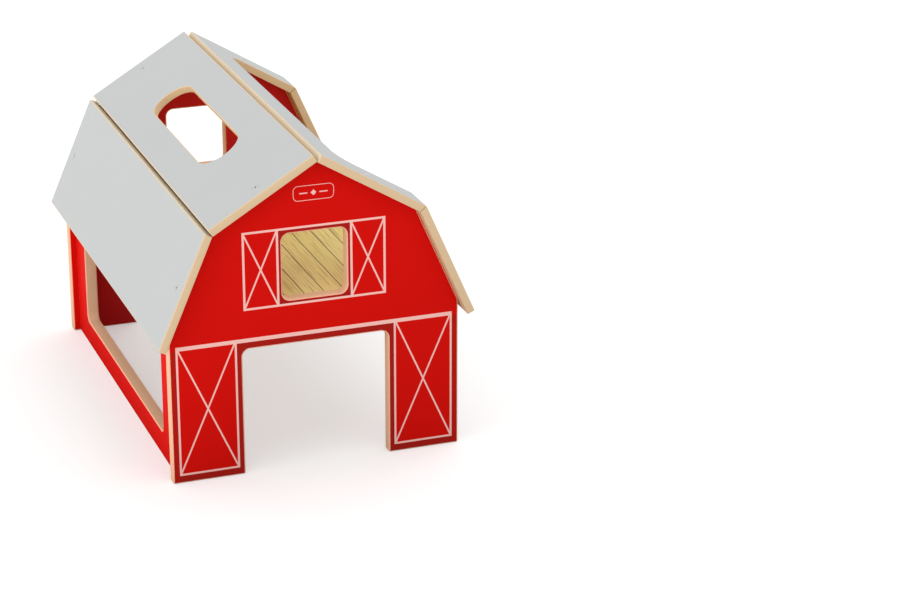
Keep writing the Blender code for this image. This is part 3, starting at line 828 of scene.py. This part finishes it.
lower_frame = [
    (lower_mitre, -half, ROOF_CORNER),
    (lower_end, -half, ROOF_CORNER),
    (lower_end, half, ROOF_CORNER),
    (lower_mitre, half, ROOF_CORNER),
    (lower_mitre, FRAME_HALF_HOLE, ROOF_CORNER),
    (strip_end, FRAME_HALF_HOLE, FRAME_CORNER),
    (strip_end, -FRAME_HALF_HOLE, FRAME_CORNER),
    (lower_mitre, -FRAME_HALF_HOLE, ROOF_CORNER),
]
upper_board = box_corners(-past_ridge, upper_end, -half, half, ROOF_CORNER)
lower_board = box_corners(0, lower_end, -half, half, ROOF_CORNER)
skylight = box_corners(
    UPPER_SLOPE / 2 - HALF_SKYLIGHT,
    UPPER_SLOPE / 2 + HALF_SKYLIGHT,
    -SKYLIGHT_HALF_LENGTH,
    SKYLIGHT_HALF_LENGTH,
    SKYLIGHT_CORNER,
    True,
)
upper_line = (0, APEX_HEIGHT, UPPER_PITCH)
lower_line = (KNEE_HALF_WIDTH, KNEE_HEIGHT, LOWER_PITCH)
roof_rim = round_rim(ROOF_BOARD, ROOF_RIM, ROOF_INNER_RIM)
roof_screws = []

# Each joint's end, where its painted shade begins and is darkest, and its shares of painted shade and of
# pale painted light
left_knee = (upper_end, 0.0022, 0.0045, 0.80, 0.50)
left_knee_below = (0, 0.0065, 0.0080, 0.10, 0.48)
right_ridge = (RIDGE_SET_BACK, 0.0040, 0.0080, 0.45, 0.42)
right_knee = (lower_mitre, 0.0010, 0.0080, 0.20, 0.0)
for name, line, corners, opening, start, end, mitre, joint in (
    ("roof_upper_left", upper_line, upper_board, skylight, -past_ridge, upper_end, square_cut, left_knee),
    ("roof_upper_right", upper_line, upper_frame, None, RIDGE_SET_BACK, upper_end, upper_cut, right_ridge),
    ("roof_lower_left", lower_line, lower_board, None, 0, lower_end, square_cut, left_knee_below),
    ("roof_lower_right", lower_line, lower_frame, None, 0, lower_end, lower_cut, right_knee),
):
    side = -1 if name.endswith("left") else 1
    screw_u = (start + end) / 2
    plane = slope_plane(side, *line)
    loops = [(rounded_path(corners), roof_rim)]
    if opening:
        loops.append((rounded_path(opening), roof_rim))
    for end_name, y in (("front", -SCREW_PLACE_Y), ("rear", SCREW_PLACE_Y)):
        loops.append(screw_hole(screw_u, y * side))
        place = np.array(plane[0]) + screw_u * np.array(plane[1]) + y * side * np.array(plane[2])
        roof_screws.append((name.replace("roof", "screw") + "_" + end_name, place, plane[1:]))
    paint = roof_material(name + "_paint", plane, joint)
    board(name + "_board", name, "grey_board", *plane, loops, paint, mitre)


# The roof screws
# Eight small countersunk wood screws, zinc plated, one through each end of each roof board into the
# gable below it. The head is flat and flush, with a cross recess, and a rolled thread runs to the point.
HEAD_RADIUS = 0.0027
HEAD_RIM = 0.0004
SHANK_RADIUS = 0.0015
SHANK_PLAIN = 0.0045
THREAD_CORE = 0.0011
THREAD_PITCH = 0.0014
SCREW_LENGTH = 0.025
POINT_LENGTH = 0.004
RECESS_DEPTH = 0.0015
RECESS_ARM = 0.0018
RECESS_HALF_SLOT = 0.00048
RECESS_WALL = 0.00016
RECESS_SHADE_DEPTH = 0.0003
SCREW_SECTORS = 72
HEAD_RINGS = 26
THREAD_ROWS = 120
SCREW_CREASE = math.radians(32)
ZINC = (0.45, 0.45, 0.46)
ZINC_DARK = (0.66, 0.65, 0.62)
ZINC_PALE = (0.86, 0.85, 0.83)
ZINC_SPOT = (0.42, 0.41, 0.38)
ZINC_GRAIN_SCALE = 2500.0
ZINC_SPOT_SCALE = 700.0
ZINC_SPOT_RANGE = (0.45, 0.65)
ZINC_SPOT_SHARE = 0.6
ZINC_ROUGHNESS = (0.28, 0.45)
ZINC_RELIEF = 0.00002
# Painted shade in the screws' cross recesses: a dull, nearly black colour.
RECESS_SHADE = (0.05, 0.05, 0.045)
RECESS_SHADE_DARK = (0.02, 0.02, 0.018)
RECESS_SHADE_PALE = (0.09, 0.085, 0.07)
RECESS_SHADE_SCALE = 3500.0
RECESS_SHADE_ROUGHNESS = 0.85
RECESS_SHADE_RELIEF = 0.00003


def screw_surface():
    """Rows of rings from the middle of the head to the point, each ring round the screw's own axis.

    Head: a flat disc, sunk by the recess's depth where a cross of four tapering arms is cut.
    Rim and cone: straight. Shank: a plain neck, then the thread, whose radius swings between core and
    shank along a helix of one pitch, and shrinks evenly to nothing over the length of the point.
    """
    angle = np.linspace(0, 2 * math.pi, SCREW_SECTORS, endpoint=False)
    cone = HEAD_RADIUS - SHANK_RADIUS
    reach = HEAD_RADIUS * np.linspace(0, 1, HEAD_RINGS + 1)[1:, None]
    u, v = np.abs(reach * np.cos(angle)), np.abs(reach * np.sin(angle))
    along, aside = np.maximum(u, v), np.minimum(u, v)
    slot = RECESS_HALF_SLOT * (1 - along / (3 * RECESS_ARM))
    in_slot = np.clip((slot - aside) / RECESS_WALL + 0.5, 0, 1)
    in_arm = np.clip((RECESS_ARM - along) / (3 * RECESS_WALL), 0, 1)
    head_r = np.repeat(reach, SCREW_SECTORS, axis=1)
    head_z = -RECESS_DEPTH * (in_slot * in_arm)
    neck_z = -np.array((HEAD_RIM, HEAD_RIM + cone, SHANK_PLAIN))[:, None]
    neck_r = np.array((HEAD_RADIUS, SHANK_RADIUS, SHANK_RADIUS))[:, None]
    level = -np.linspace(SHANK_PLAIN, SCREW_LENGTH, THREAD_ROWS + 1)[1:-1, None]
    swing = 0.5 + 0.5 * np.cos(2 * math.pi * level / THREAD_PITCH - angle)
    taper = np.clip((level + SCREW_LENGTH) / POINT_LENGTH, 0, 1)
    thread_r = (THREAD_CORE + (SHANK_RADIUS - THREAD_CORE) * swing**3) * taper
    ones = np.ones((1, SCREW_SECTORS))
    radius = np.concatenate((head_r, neck_r * ones, thread_r))
    height = np.concatenate((head_z, neck_z * ones, level * ones))
    return np.stack((radius * np.cos(angle), radius * np.sin(angle), height), axis=-1)


def screw(name, node, place, axes, rings, materials):
    """One screw: rings joined by quads, with one point in the recess's floor and one at the tip.

    The second material, nearly black, is painted shade on the faces of the recess, whose points lie below
    the flat of the head.
    """
    rows, sectors = rings.shape[:2]
    tips = np.array(((0, 0, -RECESS_DEPTH), (0, 0, -SCREW_LENGTH)))
    points = np.concatenate((rings.reshape(-1, 3), tips))
    index = np.arange(rows * sectors).reshape(rows, sectors)
    onward = np.roll(index, -1, axis=1)
    quads = np.stack((index[:-1], index[1:], onward[1:], onward[:-1]), axis=-1).reshape(-1, 4)
    top, tip = rows * sectors, rows * sectors + 1
    cap = np.stack((np.full(sectors, top), index[0], onward[0]), axis=-1)
    end = np.stack((index[-1], np.full(sectors, tip), onward[-1]), axis=-1)
    frame_axes = np.array((*axes, np.cross(*axes)))
    mesh = bpy.data.meshes.new(name)
    faces = quads.tolist() + cap.tolist() + end.tolist()
    mesh.from_pydata((points @ frame_axes + place).tolist(), [], faces)
    mesh.polygons.foreach_set("use_smooth", np.ones(len(mesh.polygons), bool))
    mesh.set_sharp_from_angle(angle=SCREW_CREASE)
    for material in materials:
        mesh.materials.append(material)
    # The faces sunk into the recess, and its floor, take the painted shade.
    head = np.arange(len(quads)) < (HEAD_RINGS - 1) * sectors
    sunk = head & (points[quads, 2].mean(axis=1) < -RECESS_SHADE_DEPTH)
    recess = np.concatenate((sunk, np.ones(sectors, bool), np.zeros(sectors, bool)))
    mesh.polygons.foreach_set("material_index", recess.astype(np.int32))
    piece = bpy.data.objects.new(name, mesh)
    bpy.context.scene.collection.objects.link(piece)
    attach(piece, "root")
    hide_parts(node)


def screw_material():
    """Plated steel: a fine matt grain, a slightly yellow pale grey with darker spots."""
    material, tree, shader = new_material("screw_zinc", ZINC)
    place = add(tree, "ShaderNodeTexCoord").outputs["Object"]
    grain = noise(tree, place, ZINC_GRAIN_SCALE, 3.0)
    spots = noise(tree, place, ZINC_SPOT_SCALE, 2.0)
    spot = spread(tree, spots, ZINC_SPOT_RANGE, (0.0, ZINC_SPOT_SHARE))
    plated = blend(tree, grain, ZINC_DARK, ZINC_PALE)
    tree.links.new(blend(tree, spot, plated, ZINC_SPOT), shader.inputs["Base Color"])
    tree.links.new(spread(tree, grain, NOISE_MIDDLE, ZINC_ROUGHNESS), shader.inputs["Roughness"])
    raised(tree, shader, grain, 0.5, ZINC_RELIEF)
    shader.inputs["Metallic"].default_value = 1.0
    return material


def recess_material():
    """Painted shade in the recess: dull, nearly black, with paler grains."""
    material, tree, shader = new_material("screw_recess_shade", RECESS_SHADE)
    place = add(tree, "ShaderNodeTexCoord").outputs["Object"]
    grain = noise(tree, place, RECESS_SHADE_SCALE, 3.0)
    tree.links.new(blend(tree, grain, RECESS_SHADE_DARK, RECESS_SHADE_PALE), shader.inputs["Base Color"])
    shader.inputs["Roughness"].default_value = RECESS_SHADE_ROUGHNESS
    raised(tree, shader, grain, 0.7, RECESS_SHADE_RELIEF)
    return material


screw_finishes = (screw_material(), recess_material())
screw_rings = screw_surface()
for node, place, axes in roof_screws:
    screw(node + "_zinc", node, place, axes, screw_rings, screw_finishes)


# The dowels
# Ten beech pins, 6 mm across, glued in blind holes: four join the wall to the gables, four the loft to
# the gables, and two the loft to the top of the wall. They are hidden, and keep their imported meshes.
BEECH = (0.70, 0.52, 0.31)
BEECH_DARK = (0.56, 0.38, 0.20)
BEECH_PALE = (0.78, 0.60, 0.38)
BEECH_FLECK = (0.34, 0.20, 0.10)
BEECH_GRAIN_SCALE = 1400.0
BEECH_FLECK_SCALE = 1900.0
BEECH_FLECK_REACH = (0.05, 0.2)
BEECH_FLECK_SHARE = 0.5
BEECH_ROUGHNESS = (0.52, 0.68)
BEECH_RELIEF = 0.00005
BEECH_STRETCH = 0.06


def dowel_material(name, stretch):
    """Beech: grain drawn out along the pin by a small scale on that axis, with short darker flecks."""
    material, tree, shader = new_material(name, BEECH)
    place = add(tree, "ShaderNodeTexCoord").outputs["Object"]
    drawn = add(tree, "ShaderNodeMapping", {"Vector": place, "Scale": stretch}).outputs[0]
    grain = noise(tree, drawn, BEECH_GRAIN_SCALE, 3.0)
    fleck = dots(tree, drawn, BEECH_FLECK_SCALE, BEECH_FLECK_REACH, BEECH_FLECK_SHARE)
    body = blend(tree, grain, BEECH_DARK, BEECH_PALE)
    tree.links.new(blend(tree, fleck, body, BEECH_FLECK), shader.inputs["Base Color"])
    tree.links.new(spread(tree, grain, NOISE_MIDDLE, BEECH_ROUGHNESS), shader.inputs["Roughness"])
    raised(tree, shader, grain, 0.6, BEECH_RELIEF)
    return material


level_beech = dowel_material("dowel_beech_level", (1.0, BEECH_STRETCH, 1.0))
upright_beech = dowel_material("dowel_beech_upright", (1.0, 1.0, BEECH_STRETCH))
for node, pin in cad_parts.items():
    if node.startswith("dowel_"):
        pin.data.materials.clear()
        pin.data.materials.append(upright_beech if "_top_" in node else level_beech)


# The stage
# A pale floor that shows white to the camera and keeps the barn's shadow, and gives back less light
# close to the barn, but more on its left. Soft studio light, stronger from the left. The camera
# stands where the photograph's did.
FLOOR_HALF = 12.0
FLOOR_BOUNCE_NEAR = 0.18
FLOOR_BOUNCE_FAR = 0.80
FLOOR_BOUNCE_LEFT = 1.0
FLOOR_BOUNCE_ROOM = 0.45
ROOM_HALF_WIDTH = 0.14
ROOM_HALF_LENGTH = 0.214
FLOOR_NEAR = 0.25
FLOOR_FAR = 0.90
FLOOR_LEFT_START = -0.14
FLOOR_LEFT_END = -0.22
FLOOR_SHOWN = (0.65, 0.65, 0.65)
FLOOR_LIFT = 0.42
FLOOR_ROUGHNESS = 0.9
AMBIENT = 0.96
KEY_TOWARD = (-0.95, -0.28, 0.12)
KEY_DEGREES = 40
KEY_STRENGTH = 0.34
BACK_TOWARD = (0.50, 0.30, 0.81)
BACK_DEGREES = 50
BACK_STRENGTH = 0.12
CAMERA_PLACE = (-0.73733, -2.59882, 1.13335)
CAMERA_AZIMUTH = math.radians(-20.452)
CAMERA_ELEVATION = math.radians(21.017)
CAMERA_ROLL = math.radians(0.102)
CAMERA_LENS = 106.19
CAMERA_SENSOR = 36.0


def make_floor():
    """A level square, whose colour is one thing to the camera and another to the light it gives back."""
    half = FLOOR_HALF
    mesh = bpy.data.meshes.new("floor")
    corners = [(-half, -half, 0), (half, -half, 0), (half, half, 0), (-half, half, 0)]
    mesh.from_pydata(corners, [], [(0, 1, 2, 3)])
    material, tree, shader = new_material("floor_paper", FLOOR_SHOWN)
    seen = add(tree, "ShaderNodeLightPath").outputs["Is Camera Ray"]
    place = add(tree, "ShaderNodeTexCoord").outputs["Object"]
    away = add(tree, "ShaderNodeVectorMath", {0: place}, operation="LENGTH").outputs["Value"]
    x, y = add(tree, "ShaderNodeSeparateXYZ", {0: place}).outputs[:2]
    in_room = field(tree, x, y, -ROOM_HALF_WIDTH, ROOM_HALF_WIDTH, -ROOM_HALF_LENGTH, ROOM_HALF_LENGTH)
    round_barn = spread(tree, away, (FLOOR_NEAR, FLOOR_FAR), (FLOOR_BOUNCE_NEAR, FLOOR_BOUNCE_FAR))
    left_range = (FLOOR_LEFT_START, FLOOR_LEFT_END)
    at_left = spread(tree, x, left_range, (FLOOR_BOUNCE_NEAR, FLOOR_BOUNCE_LEFT))
    outdoors = calc(tree, "MAXIMUM", round_barn, at_left)
    given = calc(tree, "MAXIMUM", outdoors, calc(tree, "MULTIPLY", in_room, FLOOR_BOUNCE_ROOM))
    bounce = add(tree, "ShaderNodeCombineXYZ", {0: given, 1: given, 2: given}).outputs[0]
    tree.links.new(blend(tree, seen, bounce, FLOOR_SHOWN), shader.inputs["Base Color"])
    shader.inputs["Roughness"].default_value = FLOOR_ROUGHNESS
    shader.inputs["Specular IOR Level"].default_value = 0.0
    lift = blend(tree, seen, (0, 0, 0), (FLOOR_LIFT, FLOOR_LIFT, FLOOR_LIFT))
    tree.links.new(lift, shader.inputs["Emission Color"])
    shader.inputs["Emission Strength"].default_value = 1.0
    mesh.materials.append(material)
    floor = bpy.data.objects.new("floor", mesh)
    bpy.context.scene.collection.objects.link(floor)


def make_lamp(name, toward, softness, strength):
    """A far soft lamp that shines from the direction toward, as wide as the angle softness."""
    data = bpy.data.lights.new(name, "SUN")
    data.angle = math.radians(softness)
    data.energy = strength * math.pi
    lamp = bpy.data.objects.new(name, data)
    lamp.rotation_mode = "QUATERNION"
    lamp.rotation_quaternion = (-Vector(toward)).to_track_quat("-Z", "Y")
    bpy.context.scene.collection.objects.link(lamp)


def make_world():
    """Even light from all round, which the camera and reflections see as white."""
    world = bpy.data.worlds.new("studio")
    world.use_nodes = True
    tree = world.node_tree
    ambient = tree.nodes["Background"]
    ambient.inputs["Color"].default_value = (1, 1, 1, 1)
    path = add(tree, "ShaderNodeLightPath").outputs
    shown = calc(tree, "MAXIMUM", path["Is Camera Ray"], path["Is Glossy Ray"])
    tree.links.new(mixed(tree, shown, AMBIENT, 1.0), ambient.inputs["Strength"])
    bpy.context.scene.world = world


def make_camera():
    """The camera's three axes from its azimuth, elevation and roll."""
    back = Vector(
        (
            math.sin(CAMERA_AZIMUTH) * math.cos(CAMERA_ELEVATION),
            -math.cos(CAMERA_AZIMUTH) * math.cos(CAMERA_ELEVATION),
            math.sin(CAMERA_ELEVATION),
        )
    )
    level = Vector((math.cos(CAMERA_AZIMUTH), math.sin(CAMERA_AZIMUTH), 0))
    upright = back.cross(level)
    right = level * math.cos(CAMERA_ROLL) + upright * math.sin(CAMERA_ROLL)
    up = upright * math.cos(CAMERA_ROLL) - level * math.sin(CAMERA_ROLL)
    data = bpy.data.cameras.new("camera")
    data.lens = CAMERA_LENS
    data.sensor_width = CAMERA_SENSOR
    data.clip_end = 100
    camera = bpy.data.objects.new("camera", data)
    turn = Matrix((right, up, back)).transposed().to_4x4()
    camera.matrix_world = Matrix.Translation(CAMERA_PLACE) @ turn
    bpy.context.scene.collection.objects.link(camera)
    bpy.context.scene.camera = camera


make_floor()
make_world()
make_lamp("key", KEY_TOWARD, KEY_DEGREES, KEY_STRENGTH)
make_lamp("back", BACK_TOWARD, BACK_DEGREES, BACK_STRENGTH)
make_camera()
bpy.context.scene.view_settings.view_transform = "Standard"
